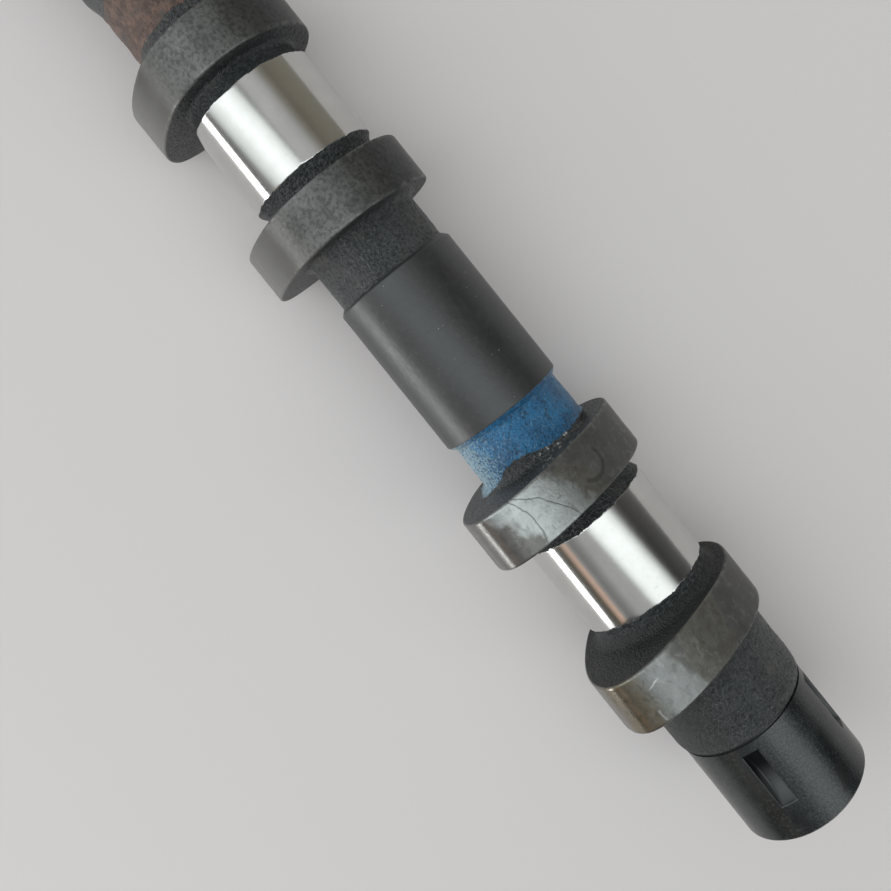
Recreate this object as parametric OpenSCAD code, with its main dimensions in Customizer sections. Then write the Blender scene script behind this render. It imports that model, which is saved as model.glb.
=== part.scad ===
// One-piece cast camshaft for a four-cylinder head, with two valves a cylinder
// on this shaft. It lies along X, the sprocket end at the left and the slotted
// end at the right. X = 0 is the shoulder that the sprocket seats against, and
// Y = Z = 0 is the shaft's axis. It is turned the way it rests on a flat surface.

/* [Cylinders] */
// Distance between neighbouring cylinders
pitch = 94; // [88:1:105]
// Sprocket shoulder to the middle of cylinder 1
first_cylinder = 62; // [60:1:90]
// Cylinders in the order in which they fire
firing_order = [1, 3, 4, 2];
// Nose of cylinder 1, in degrees from straight down
first_nose = 33.8; // [0:0.1:359]

/* [Journals] */
// Diameter of the ground bearing journals
journal_d = 25; // [24:0.5:28]
// Width of the ground band of a journal
journal_w = 17.5; // [14:0.5:19]
// Diameter of a cast neck where it meets its lobe
neck_d = 22.4; // [22.2:0.1:23]
// Length over which a neck drops from its journal to that diameter
neck_drop = 2.6; // [1:0.1:3]

/* [Lobes] */
// Base circle diameter of the cam lobes
base_d = 30.8; // [29:0.2:34]
// Lift that the nose gives
lift = 7.8; // [6:0.1:10]
// Cam angle from the nose to the end of the lift
half_duration = 73; // [66:1:85]
// Power of the lift curve, a higher one giving a sharper nose
lift_power = 1.9; // [1.8:0.05:2.5]
// Width of a lobe
lobe_w = 9.5; // [8:0.1:11]
// Middle of a journal to the middle of the lobe beside it
lobe_offset = 17; // [16:0.1:20]
// Radius of the cast fillet between a lobe and the shaft
fillet = 1.6; // [0.5:0.1:3]

/* [Shaft] */
// Diameters of the cast shaft before, between and behind the cylinders
core_ds = [22, 22, 23.8, 22, 22];
// Diameters of the turned barrels midway between cylinders
barrel_ds = [24.2, 25.7, 24.2];
// Length of each turned barrel
barrel_lengths = [32.2, 20.6, 32.2];
// Length of the cone at the ends of each barrel
barrel_cones = [1.1, 3.4, 1.1];

/* [Slotted end] */
// Diameter of the cast collar behind the last lobe
collar_d = 26.1; // [25.8:0.1:30]
// Middle of the last cylinder to the end of the collar
collar_end = 36; // [30:0.1:45]
// Length over which the collar rounds down to the spigot
collar_round = 2; // [1:0.1:3]
// Diameter of the turned spigot
spigot_d = 25.2; // [22:0.1:25.6]
// Length of the turned spigot
spigot_l = 19.3; // [17:0.1:26]
// Width of the two slots in the spigot
slot_w = 3; // [2:0.1:5]
// Length of a slot at the surface
slot_l = 11.1; // [6:0.1:12]
// Depth of a slot at its middle
slot_depth = 2.5; // [1:0.1:3.5]
// End of the collar to the middle of a slot
slot_x = 7.5; // [6.5:0.1:10]
// Directions of the slots, in degrees round the shaft from the last cylinder's nose
slot_angles = [-19.5, -109.5];

/* [Sprocket end] */
// Diameter of the front journal, on which the oil seal runs too
front_journal_d = 28; // [25:0.5:31]
// Length of the front journal
front_journal_l = 26; // [20:1:28]
// Diameter of the thrust flange
flange_d = 34; // [33:1:36]
// Thickness of the thrust flange
flange_t = 4.5; // [3:0.5:6]
// Diameter of the sprocket's seat
seat_d = 20; // [16:1:22]
// Length of the sprocket's seat
seat_l = 13; // [10:1:20]
// Width of the keyway in the seat
key_w = 4; // [3:0.5:6]
// Depth of the keyway in the seat
key_depth = 2; // [1.5:0.1:2.5]
// Tapping diameter of the hole for the sprocket's bolt
bolt_d = 8.5; // [6.8:0.1:10.2]
// Depth of that hole from the end of the seat
bolt_depth = 32; // [20:1:40]

/* [Hidden] */

cylinder_count = len(firing_order);
chamfer = 0.8;
spigot_chamfer = 0.4;
round_steps = 5;
profile_step = 3;
relief_w = 0.5;
relief_depth = 0.25;
centre_hole_d = 6;
centre_hole_depth = 5.2;
countersink_d = 11;
drill_point = 2.5;
bite = 0.2;
spare = 1;
$fn = 96;

last_cylinder = first_cylinder + (cylinder_count - 1) * pitch;
collar_x = last_cylinder + collar_end;
rear_x = collar_x + spigot_l;
flange_x = front_journal_l + flange_t;
core_r = min(core_ds) / 2;
journal_r = journal_d / 2;
neck_r = neck_d / 2;
base_r = base_d / 2;
collar_r = collar_d / 2;
spigot_r = spigot_d / 2;
front_journal_r = front_journal_d / 2;
flange_r = flange_d / 2;
seat_r = seat_d / 2;
lobe_inner = lobe_offset - lobe_w / 2;
lobe_outer = lobe_offset + lobe_w / 2;
slot_cutter_r = (pow(slot_l / 2, 2) + pow(slot_depth, 2)) / (2 * slot_depth);
key_angle = first_nose + 180;

cast_skin = [0.33, 0.35, 0.36];
ground_steel = [0.82, 0.82, 0.80];
dark_finish = [0.40, 0.42, 0.43];
lobe_finish = [0.52, 0.53, 0.52];

function cylinder_x(number) = first_cylinder + (number - 1) * pitch;

// The shaft turns a quarter turn from one firing to the next
function nose_angle(number) =
    first_nose - search(number, firing_order)[0] * 360 / cylinder_count;

// Rise of a flat follower at a cam angle counted from the nose
function rise(angle) =
    abs(angle) >= half_duration ? 0
        : lift * pow(1 - pow(angle / half_duration, 2), lift_power);

// Slope of that rise, in millimetres a radian
function slope(angle) =
    let (part = angle / half_duration)
    abs(part) >= 1 ? 0
        : -2 * lift * lift_power * part * pow(1 - part * part, lift_power - 1)
            * (180 / PI) / half_duration;

// Point at which the flat follower touches the cam, the nose pointing along X
function cam_point(angle) =
    let (reach = base_r + rise(angle), side = slope(angle))
    [reach * cos(angle) - side * sin(angle), reach * sin(angle) + side * cos(angle)];

// Points [radius, x] of a quarter ellipse that leaves its start along the shaft
// and meets its end square to the shaft
function quarter(r0, x0, r1, x1) =
    [for (i = [0:round_steps]) let (turn = 90 * i / round_steps)
        [r1 + (r0 - r1) * cos(turn), x0 + (x1 - x0) * sin(turn)]];

function backwards(points) = [for (i = [len(points) - 1:-1:0]) points[i]];

// The shaft through one cylinder's lobes, with a fillet up to each outer side
// from the radius that the shaft has there
function lobe_roots(x, before, behind) =
    let (start = x - lobe_outer + bite, end = x + lobe_outer - bite)
    concat(
        quarter(before, start - fillet, before + fillet, start),
        [[before + fillet, start + spare], [core_r, start + 2 * spare],
         [core_r, end - 2 * spare], [behind + fillet, end - spare]],
        backwards(quarter(behind, end + fillet, behind + fillet, end)));

// Lays a shape that stands on Z along X, with its own X pointing straight down
module along_x() {
    rotate([0, 90, 0]) children();
}

// Swings what faces straight down to another direction round the shaft
module facing(angle) {
    rotate([angle, 0, 0]) children();
}

// Solid of revolution about the shaft's axis, from its outline as [radius, x]
module turned(outline) {
    first = outline[0];
    last = outline[len(outline) - 1];
    along_x() rotate_extrude() polygon(concat([[0, first[1]]], outline, [[0, last[1]]]));
}

module core() {
    front_r = core_ds[0] / 2;
    roots = [for (n = [1:cylinder_count])
        each lobe_roots(cylinder_x(n), core_ds[n - 1] / 2, core_ds[n] / 2)];
    inside_collar = last_cylinder + lobe_outer + 2 * fillet;
    color(cast_skin) turned(concat(
        [[front_r + fillet, flange_x - spare]],
        backwards(quarter(front_r, flange_x + fillet, front_r + fillet, flange_x)),
        roots,
        [[core_ds[cylinder_count] / 2, inside_collar]]));
}

module journal(x) {
    rim = journal_w / 2;
    color(ground_steel) turned([
        [neck_r, x - lobe_inner - spare], [neck_r, x - rim - neck_drop], [journal_r, x - rim],
        [journal_r, x + rim], [neck_r, x + rim + neck_drop], [neck_r, x + lobe_inner + spare]]);
}

// A barrel of radius r on a shaft of radius root. Its cones run on below the skin
// of the shaft, at the same slope.
module barrel(x, r, root, l, cone) {
    sunk = l / 2 + cone * spare / (r - root);
    color(dark_finish) turned([
        [root - spare, x - sunk], [r, x - l / 2 + cone],
        [r, x + l / 2 - cone], [root - spare, x + sunk]]);
}

module lobe(x, angle) {
    outline = [for (a = [-180:profile_step:180 - profile_step]) cam_point(a)];
    color(lobe_finish)
        translate([x - lobe_w / 2, 0, 0])
            facing(angle)
                along_x() linear_extrude(lobe_w) polygon(outline);
}

module cylinder_group(number) {
    x = cylinder_x(number);
    journal(x);
    for (side = [-1, 1]) lobe(x + side * lobe_offset, nose_angle(number));
}

module sprocket_end() {
    color(ground_steel) turned([
        [seat_r - chamfer, -seat_l], [seat_r, -seat_l + chamfer], [seat_r, 0],
        [front_journal_r - chamfer, 0], [front_journal_r, chamfer],
        [front_journal_r, front_journal_l], [flange_r - chamfer, front_journal_l],
        [flange_r, front_journal_l + chamfer], [flange_r, flange_x - chamfer],
        [flange_r - chamfer, flange_x]]);
}

// The seam of the turned wall faces away from the last nose, clear of both slots
module slotted_end() {
    color(dark_finish) facing(nose_angle(cylinder_count) + 180) turned(concat(
        [[collar_r, last_cylinder + lobe_outer - spare]],
        quarter(collar_r, collar_x - collar_round, spigot_r, collar_x),
        [[spigot_r - relief_depth, collar_x], [spigot_r - relief_depth, collar_x + relief_w],
         [spigot_r, collar_x + relief_w], [spigot_r, rear_x - spigot_chamfer],
         [spigot_r - spigot_chamfer, rear_x]]));
}

// Slots sunk by a round cutter, as for half-moon keys
module spigot_slots() {
    for (angle = slot_angles)
        facing(nose_angle(cylinder_count) + angle)
            translate([collar_x + slot_x, 0, -(spigot_r - slot_depth + slot_cutter_r)])
                rotate([90, 0, 0]) cylinder(h = slot_w, r = slot_cutter_r, center = true);
}

module seat_keyway() {
    facing(key_angle)
        translate([-seat_l - spare, -key_w / 2, -seat_r - spare])
            cube([seat_l + spare, key_w, key_depth + spare]);
}

module bolt_hole() {
    sink = (countersink_d - bolt_d) / 2;
    translate([-seat_l, 0, 0]) along_x() {
        translate([0, 0, -spare]) cylinder(h = bolt_depth + spare, d = bolt_d);
        translate([0, 0, bolt_depth]) cylinder(h = drill_point, d1 = bolt_d, d2 = 0);
        translate([0, 0, -spare])
            cylinder(h = sink + spare, d1 = countersink_d + 2 * spare, d2 = bolt_d);
    }
}

module centre_hole() {
    translate([rear_x + spare, 0, 0]) along_x() mirror([0, 0, 1])
        cylinder(h = centre_hole_depth + spare,
            d1 = centre_hole_d * (1 + spare / centre_hole_depth), d2 = 0);
}

module camshaft() {
    difference() {
        union() {
            core();
            sprocket_end();
            for (n = [1:cylinder_count]) cylinder_group(n);
            for (n = [1:cylinder_count - 1])
                barrel(cylinder_x(n) + pitch / 2, barrel_ds[n - 1] / 2, core_ds[n] / 2,
                    barrel_lengths[n - 1], barrel_cones[n - 1]);
            slotted_end();
        }
        spigot_slots();
        seat_keyway();
        bolt_hole();
        centre_hole();
    }
}

camshaft();
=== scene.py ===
"""Looks of a cast camshaft: cast skin, ground journals and lobes, and turned, blackened barrels.

Lengths are in millimetres until a mesh is made, and the shaft's axis is X, as in the frame.
Directions round the shaft are angles from straight down, turning from -Z towards +Y. In the
materials and the world, "around" turns the same way, but from straight up.
"""
import math

import bpy
import numpy as np
from mathutils import Matrix, Vector, noise


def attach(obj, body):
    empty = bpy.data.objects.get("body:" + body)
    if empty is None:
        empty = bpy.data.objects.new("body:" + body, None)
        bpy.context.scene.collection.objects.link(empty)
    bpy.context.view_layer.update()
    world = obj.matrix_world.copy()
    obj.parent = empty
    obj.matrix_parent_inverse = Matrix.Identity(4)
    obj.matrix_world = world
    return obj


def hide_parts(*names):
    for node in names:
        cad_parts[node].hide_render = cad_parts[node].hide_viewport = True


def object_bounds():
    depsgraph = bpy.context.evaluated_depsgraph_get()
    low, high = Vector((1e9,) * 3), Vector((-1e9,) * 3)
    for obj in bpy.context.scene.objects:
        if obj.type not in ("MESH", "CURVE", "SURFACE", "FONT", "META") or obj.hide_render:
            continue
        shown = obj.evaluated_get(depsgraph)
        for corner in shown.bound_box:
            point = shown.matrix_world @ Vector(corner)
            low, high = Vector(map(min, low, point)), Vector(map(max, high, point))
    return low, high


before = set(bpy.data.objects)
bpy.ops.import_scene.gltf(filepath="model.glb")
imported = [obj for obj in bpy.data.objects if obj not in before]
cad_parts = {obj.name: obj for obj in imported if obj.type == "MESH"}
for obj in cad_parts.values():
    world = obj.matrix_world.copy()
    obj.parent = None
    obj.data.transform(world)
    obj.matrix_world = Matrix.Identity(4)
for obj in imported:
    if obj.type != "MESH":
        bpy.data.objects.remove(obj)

CAD_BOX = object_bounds()
MM = 0.001

# The shaft's sizes
PITCH = 94.0
FIRST_CYLINDER = 62.0
FIRING_ORDER = [1, 3, 4, 2]
FIRST_NOSE = 33.8
JOURNAL_R = 12.5
JOURNAL_W = 17.5
NECK_R = 11.2
NECK_DROP = 2.6
BASE_R = 15.4
LIFT = 7.8
HALF_DURATION = 73.0
LIFT_POWER = 1.9
LOBE_W = 9.5
LOBE_OFFSET = 17.0
FILLET = 1.6
CORE_RS = [11.0, 11.0, 11.9, 11.0, 11.0]
BARREL_RS = [12.1, 12.85, 12.1]
BARREL_LENGTHS = [32.2, 20.6, 32.2]
BARREL_CONES = [1.1, 3.4, 1.1]
COLLAR_R = 13.05
COLLAR_END = 36.0
COLLAR_FILLET = 0.8
COLLAR_ROUND = 2.0
SPIGOT_R = 12.6
SPIGOT_L = 19.3
SPIGOT_CHAMFER = 0.4
SLOT_W = 3.0
SLOT_L = 11.1
SLOT_DEPTH = 2.5
SLOT_X = 7.5
SLOT_ANGLES = [-19.5, -109.5]
FRONT_JOURNAL_R = 14.0
FRONT_JOURNAL_L = 26.0
FLANGE_R = 17.0
FLANGE_T = 4.5
SEAT_R = 10.0
SEAT_L = 13.0
KEY_W = 4.0
KEY_DEPTH = 2.0
BOLT_R = 4.25
BOLT_DEPTH = 32.0
THREAD_PITCH = 1.5
THREAD_R = 4.95
THREAD_L = 21.0
COUNTERSINK_R = 5.5
DRILL_POINT = 2.5
CENTRE_HOLE_R = 3.0
CENTRE_HOLE_DEPTH = 5.2
CHAMFER = 0.8
RELIEF_W = 0.5
RELIEF_DEPTH = 0.25

CYLINDERS = len(FIRING_ORDER)
LAST_CYLINDER = FIRST_CYLINDER + (CYLINDERS - 1) * PITCH
COLLAR_X = LAST_CYLINDER + COLLAR_END
REAR_X = COLLAR_X + SPIGOT_L
FLANGE_X = FRONT_JOURNAL_L + FLANGE_T
LOBE_INNER = LOBE_OFFSET - LOBE_W / 2
LOBE_OUTER = LOBE_OFFSET + LOBE_W / 2
PAINTED_SIDE = LAST_CYLINDER - LOBE_OUTER
# Inner side of the last cylinder's rear lobe, beside which painted shade darkens the cast skin
SHADED_LOBE_SIDE = LAST_CYLINDER + LOBE_INNER
LAST_SIDE = LAST_CYLINDER + LOBE_OUTER

# How finely the surface is built
AROUND = 288
SKIN_STEP = 0.36
SIDE_RINGS = 16
EDGE = 0.32
NECK_FILLET = 0.9

# How strongly the casting's lumps show on a lobe's side, where they show fully on the core
SIDE_ROUGH = 0.45

# How far in from a lobe's edge handling has rubbed it
RUBBED_W = 0.9

# The ragged edge of a journal's ground band: how far it reaches in and out, and its rings' step
RAGGED_IN = 0.9
RAGGED_OUT = 1.0
RAGGED_STEP = 0.14

# The bevel of a groove's edges, and how far out from its walls the points are crowded
GROOVE_BEVEL = 0.12
GROOVE_MARGIN = 0.45

# The last neck, whose casting stands nearly as high as its journal
LAST_NECK_DROP = 0.4
LAST_NECK_REACH = 1.4
LAST_NECK_FILLET = 1.7

# The shoulder that the core has in place of a fillet, on one side of the last cylinder: how far it
# stands above the core, from its start to the lobe, and its direction and width in degrees
LIP = [0.34, 0.44, 0.38, 0.16, -0.2, -0.35, -0.1]
LIP_ANGLE = 103.0
LIP_SPREAD = 26.0

# Materials, by their place in each piece's list
SKIN, GROUND, LOBE, BARREL, SPIGOT, BORE = range(6)


def cylinder_x(number):
    """Place of the middle of a cylinder's journal."""
    return FIRST_CYLINDER + (number - 1) * PITCH


def nose_angle(number):
    """Direction of the noses of a cylinder's pair of lobes, in degrees."""
    return FIRST_NOSE - FIRING_ORDER.index(number) * 360 / CYLINDERS


def lobe_outline():
    """The flat-follower cam as (angle, radius) arrays, with its nose at angle 0."""
    turn = np.radians(np.arange(-180.0, 180.5, 1.0))
    part = turn / math.radians(HALF_DURATION)
    inside = np.clip(1 - part ** 2, 0, None)
    reach = BASE_R + LIFT * inside ** LIFT_POWER
    side = -2 * LIFT * LIFT_POWER * part * inside ** (LIFT_POWER - 1) / math.radians(HALF_DURATION)
    along = reach * np.cos(turn) - side * np.sin(turn)
    across = reach * np.sin(turn) + side * np.cos(turn)
    return np.unwrap(np.arctan2(across, along)), np.hypot(along, across)


LOBE_ANGLES, LOBE_RADII = lobe_outline()
COLUMNS = np.radians(np.arange(AROUND) * 360.0 / AROUND)


def from_nose(angles, nose):
    """Turns directions into angles from a lobe's nose, from -pi to pi."""
    return (angles - math.radians(nose) + math.pi) % (2 * math.pi) - math.pi


def lobe_radius(angles, nose):
    """Radius of a lobe in given directions, that of its nose being in degrees."""
    return np.interp(from_nose(angles, nose), LOBE_ANGLES, LOBE_RADII)


def round_points(radius, angles):
    """Points round the axis in given directions, as (y, z)."""
    return np.stack([radius * np.sin(angles), -radius * np.cos(angles)], 1)


class Skin:
    """Rings of points round the shaft, from one end to the other, that become one closed mesh.

    Each ring carries, for each of its points: rough, how far the lumps of the casting move it;
    over, by how much the casting stood above the grinding wheel; edge, how near it is to an edge
    that handling has rubbed bright; and off_nose, its angle from a lobe's nose in degrees.
    """

    def __init__(self):
        self.rings = []
        self.zones = []

    def ring(self, x, radius, zone, rough=0, sharp=False, over=1, edge=0, off_nose=0, points=None):
        """Adds a ring. zone is the material of the strip from the ring before it to this one."""
        if points is None:
            points = round_points(radius, COLUMNS)
        ring = {"co": np.column_stack([np.full(AROUND, x), points]), "sharp": sharp}
        for name, value in (("rough", rough), ("over", over), ("edge", edge), ("off_nose", off_nose)):
            ring[name] = np.broadcast_to(np.asarray(value, float), (AROUND,))
        self.rings.append(ring)
        self.zones.append(zone)

    def band(self, x0, x1, radius, zone, step, rough=0.0):
        """Adds even rings between two places, both left out."""
        count = max(int(round(abs(x1 - x0) / step)), 1)
        for i in range(1, count):
            self.ring(x0 + (x1 - x0) * i / count, radius, zone, rough=rough)

    def corners(self, zone, *places):
        """Adds sharp rings at (place, radius) pairs."""
        for x, radius in places:
            self.ring(x, radius, zone, sharp=True)


def grain(co, size, octaves, seed):
    """Cloudy noise from -1 to 1 at places in millimetres, its lumps about size across."""
    offset = Vector((seed, seed * 0.7, -seed))
    return np.array([noise.fractal(Vector(p) / size + offset, 0.6, 2.1, octaves) for p in co])


def neck_height(out, drop, reach):
    """Cast radius at a distance out beyond the rim of a journal, or above its skin inside the rim."""
    if out < 0:
        return JOURNAL_R - 0.5 * out
    part = min(out / reach, 1.0)
    return JOURNAL_R - drop * (1 - (1 - part) ** 1.7)


def neck_form(number, way):
    """A neck's drop below its journal, how far out the drop reaches, and the fillet at its lobe."""
    if number == CYLINDERS and way > 0:
        return LAST_NECK_DROP, LAST_NECK_REACH, LAST_NECK_FILLET
    return JOURNAL_R - NECK_R, NECK_DROP, NECK_FILLET


def neck_root(number, way):
    """Cast radius at which a neck's fillet meets the lobe beside it."""
    drop, _, fillet = neck_form(number, way)
    return JOURNAL_R - drop + fillet


def add_neck(skin, number, way):
    """Rings of a cast neck and the ragged rim of its journal, outward (way 1) or inward (way -1).

    The neck on the near side of the last journal has the most ragged rim.
    """
    drop, reach, fillet = neck_form(number, way)
    fine_lumps = 0.075 * (1.7 if number == CYLINDERS and way < 0 else 1.0)
    coarse_lumps = 0.1
    rim = JOURNAL_W / 2
    end = LOBE_INNER - fillet
    fine = rim + RAGGED_OUT
    places = list(np.arange(rim - RAGGED_IN, fine, RAGGED_STEP)) + list(np.linspace(fine, end, 6))
    places = [(place, 0.0) for place in places]
    for turn in np.radians(np.linspace(0, 90, 6))[1:]:
        places.append((end + fillet * math.sin(turn), fillet * (1 - math.cos(turn))))
    for distance, rise in places[::way]:
        x = cylinder_x(number) + way * distance
        cast = neck_height(distance - rim, drop, reach) + rise
        ring = np.column_stack([np.full(AROUND, x), round_points(JOURNAL_R, COLUMNS)])
        fade = 1.0 - 0.6 * rise / fillet
        lumps = fine_lumps * grain(ring, 0.9, 3, 5.0) + coarse_lumps * grain(ring, 3.6, 2, 9.0)
        height = cast + fade * lumps
        over = height - JOURNAL_R
        if distance < fine:
            height = np.minimum(height, JOURNAL_R)
        else:
            over = np.minimum(over, -0.2)
        skin.ring(x, height, GROUND if rise == 0 else SKIN, over=over)


def add_lobe(skin, c, nose, from_r, to_r):
    """Rings of one lobe: up its near side, over its ground face and down its far side."""
    outline = lobe_radius(COLUMNS, nose)
    off_nose = np.degrees(np.abs(from_nose(COLUMNS, nose)))
    rim = outline - EDGE
    x0, x1 = c - LOBE_W / 2, c + LOBE_W / 2
    parts = [i / SIDE_RINGS for i in range(1, SIDE_RINGS)]
    # Half of the ground face, as (distance in from the side, rise above the outline, rubbed edge)
    half = [(0.0, -EDGE, 0.7)]
    for turn in np.radians(np.linspace(0, 90, 4))[1:]:
        half.append((EDGE * (1 - math.cos(turn)), EDGE * (math.sin(turn) - 1), 1.0))
    for inset in (0.55, 0.9, 1.8, 3.2, LOBE_W / 2):
        half.append((inset, 0.0, max(0.0, 1.0 - inset / RUBBED_W)))
    for part in parts:
        rough = SIDE_ROUGH * min(1.0, 6 * (1 - part))
        skin.ring(x0, from_r + (rim - from_r) * part, SKIN, rough=rough)
    for inset, rise, edge in half:
        zone = LOBE if inset else SKIN
        skin.ring(x0 + inset, outline + rise, zone, edge=edge, off_nose=off_nose)
    for inset, rise, edge in half[-2::-1]:
        skin.ring(x1 - inset, outline + rise, LOBE, edge=edge, off_nose=off_nose)
    for part in parts:
        skin.ring(x1, rim - (rim - to_r) * part, SKIN, rough=SIDE_ROUGH * min(1.0, 6 * part))


def add_fillet(skin, x, root, way, lip=0.0):
    """Rings of the cast fillet against a flat face at x: up to it (way 1) or down from it (way -1).

    Where lip is 1, the core ends short of the face in a rounded shoulder instead.
    """
    turns = np.radians(np.linspace(0, 90, len(LIP)))
    for turn, rise in list(zip(turns, LIP))[::way]:
        reach = root + (1 - lip) * (FILLET - FILLET * math.cos(turn)) + lip * rise
        place = x - way * (FILLET - FILLET * math.sin(turn))
        rough = SIDE_ROUGH + (1 - SIDE_ROUGH) * math.cos(turn)
        skin.ring(place, reach, SKIN, rough=rough * (1 - 0.6 * lip))


def add_cylinder(skin, number):
    """Rings of one cylinder's pair of lobes with the journal between them."""
    c, nose = cylinder_x(number), nose_angle(number)
    before, behind = CORE_RS[number - 1], CORE_RS[number]
    lip = 0.0
    if number == CYLINDERS:
        lip = np.exp(-((np.degrees(COLUMNS) - LIP_ANGLE) / LIP_SPREAD) ** 2)
    add_fillet(skin, c - LOBE_OUTER, before, 1, lip)
    add_lobe(skin, c - LOBE_OFFSET, nose, before + FILLET, neck_root(number, -1))
    add_neck(skin, number, -1)
    inner = JOURNAL_W / 2 - RAGGED_IN
    skin.band(c - inner, c + inner, JOURNAL_R, GROUND, step=2.0)
    add_neck(skin, number, 1)
    add_lobe(skin, c + LOBE_OFFSET, nose, neck_root(number, 1), behind + FILLET)
    add_fillet(skin, c + LOBE_OUTER, behind, -1)


def barrel_ends(number):
    """Places where a barrel's cones start and end, as (foot, rim, rim, foot)."""
    middle = cylinder_x(number) + PITCH / 2
    half, cone = BARREL_LENGTHS[number - 1] / 2, BARREL_CONES[number - 1]
    return middle - half, middle - half + cone, middle + half - cone, middle + half


def add_barrel_half(skin, number, way):
    """Half of a barrel: up to its middle (way 1), or from its middle on (way -1)."""
    foot, rim, far_rim, far_foot = barrel_ends(number)
    middle = (foot + far_foot) / 2
    root, r = CORE_RS[number], BARREL_RS[number - 1]
    if way < 0:
        foot, rim = far_foot, far_rim
    cone = abs(rim - foot)
    bevel = 0.1
    # Rings as (place, radius, roughness, sharp), from the foot to the middle
    rings = [(foot, root, 0.6, False)]
    for part in (0.25, 0.5, 0.75):
        rings.append((foot + (rim - foot) * part, root + (r - root) * part, 0.5 * (1 - part), False))
    rings.append((rim - way * bevel * cone / (r - root), r - bevel, 0.0, True))
    rings.append((rim + way * bevel, r, 0.0, True))
    count = int(round(abs(middle - rim) / 2.0))
    for i in range(1, count):
        rings.append((rim + (middle - rim) * i / count, r, 0.0, False))
    rings.append((middle, r, 0.0, True))
    for x, radius, rough, sharp in rings[::way]:
        zone = SKIN if way > 0 and x == foot else BARREL
        skin.ring(x, radius, zone, rough=rough, sharp=sharp)


def groove_columns(radius, width, directions):
    """Angles of a ring's points, crowded at the walls of its grooves, and where each groove's are."""
    half = width / 2
    side = [half + GROOVE_MARGIN, half + GROOVE_BEVEL, half]
    floor = list(np.linspace(-half, half, 9)[1:-1])
    offsets = np.array([-s for s in side] + [-half] + floor + [half] + side[::-1])
    angles = COLUMNS.copy()
    taken = np.zeros(AROUND, bool)
    plans = []
    for direction in directions:
        middle = int(round((direction % 360) * AROUND / 360))
        columns = (middle + np.arange(len(offsets)) - len(offsets) // 2) % AROUND
        taken[columns] = True
        angles[columns] = math.radians(direction) + np.arcsin(offsets / radius)
        plans.append((math.radians(direction), columns))
    free = np.where(~taken)[0]
    for start in free[np.isin((free - 1) % AROUND, np.where(taken)[0])]:
        run = [start]
        while not taken[(run[-1] + 1) % AROUND]:
            run.append((run[-1] + 1) % AROUND)
        low = angles[(start - 1) % AROUND]
        high = low + (angles[(run[-1] + 1) % AROUND] - low) % (2 * math.pi)
        angles[run] = low + (high - low) * np.arange(1, len(run) + 1) / (len(run) + 1)
    return angles, plans, offsets, len(side)


def grooved(radius, width, floor, directions):
    """Points of a ring with flat-floored grooves, floor being their height above the axis."""
    angles, plans, offsets, walls = groove_columns(radius, width, directions)
    points = round_points(radius, angles)
    surface = np.sqrt(radius ** 2 - offsets ** 2)
    inside = slice(walls, len(offsets) - walls)
    height, apart = surface.copy(), offsets.copy()
    if floor < surface.min() - 0.01:
        height[walls - 1] -= GROOVE_BEVEL
        height[-walls] -= GROOVE_BEVEL
        height[inside] = floor
    else:
        # No groove: the points lie on the round surface, those of its walls a little apart
        apart[walls] += 0.05
        apart[-walls - 1] -= 0.05
        height[inside] = np.sqrt(radius ** 2 - apart[inside] ** 2)
    for direction, columns in plans:
        out = np.array([math.sin(direction), -math.cos(direction)])
        across = np.array([math.cos(direction), math.sin(direction)])
        points[columns] = apart[:, None] * across + height[:, None] * out
    return points


def add_bolt_hole(skin):
    """Rings of the threaded hole, from its drill point out to its countersink."""
    bottom = BOLT_DEPTH - SEAT_L
    thread_end = -SEAT_L + THREAD_L
    start = -SEAT_L + COUNTERSINK_R - BOLT_R
    skin.ring(bottom + DRILL_POINT, 0.01, BORE)
    skin.corners(BORE, (bottom, BOLT_R))
    skin.band(bottom, thread_end, BOLT_R, BORE, step=2.0)
    turn = COLUMNS / (2 * math.pi)
    count = int(round((thread_end - start) / (THREAD_PITCH / 6)))
    for i in range(count + 1):
        x = thread_end + (start - thread_end) * i / count
        # Straight flanks, with flats between them
        wave = np.abs(((x / THREAD_PITCH + turn) % 1.0) * 2 - 1)
        cut = np.clip((wave - 0.22) / 0.62, 0, 1)
        fade = max(min(1.0, (thread_end - x) / THREAD_PITCH, (x - start) / 0.5), 0)
        skin.ring(x, BOLT_R + (THREAD_R - BOLT_R) * cut * fade, BORE)
    skin.corners(BORE, (-SEAT_L, COUNTERSINK_R))


def add_front(skin):
    """Rings of the sprocket end, from the bottom of its bolt hole out to the thrust flange."""
    add_bolt_hole(skin)
    key = [FIRST_NOSE + 180]
    floor = SEAT_R - KEY_DEPTH
    skin.ring(-SEAT_L, 0, GROUND, sharp=True, points=grooved(SEAT_R - CHAMFER, KEY_W, floor, key))
    seat = grooved(SEAT_R, KEY_W, floor, key)
    skin.ring(-SEAT_L + CHAMFER, 0, GROUND, sharp=True, points=seat)
    for part in (0.25, 0.5, 0.75):
        skin.ring(-SEAT_L + CHAMFER + (SEAT_L - CHAMFER) * part, 0, GROUND, points=seat)
    skin.ring(0, 0, GROUND, sharp=True, points=seat)
    skin.corners(GROUND, (0, FRONT_JOURNAL_R - CHAMFER), (CHAMFER, FRONT_JOURNAL_R))
    skin.band(CHAMFER, FRONT_JOURNAL_L, FRONT_JOURNAL_R, GROUND, step=3.0)
    skin.corners(
        GROUND, (FRONT_JOURNAL_L, FRONT_JOURNAL_R), (FRONT_JOURNAL_L, FLANGE_R - CHAMFER),
        (FRONT_JOURNAL_L + CHAMFER, FLANGE_R), (FLANGE_X - CHAMFER, FLANGE_R),
        (FLANGE_X, FLANGE_R - CHAMFER), (FLANGE_X, CORE_RS[0] + FILLET + 0.4))
    add_fillet(skin, FLANGE_X, CORE_RS[0], -1)


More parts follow.
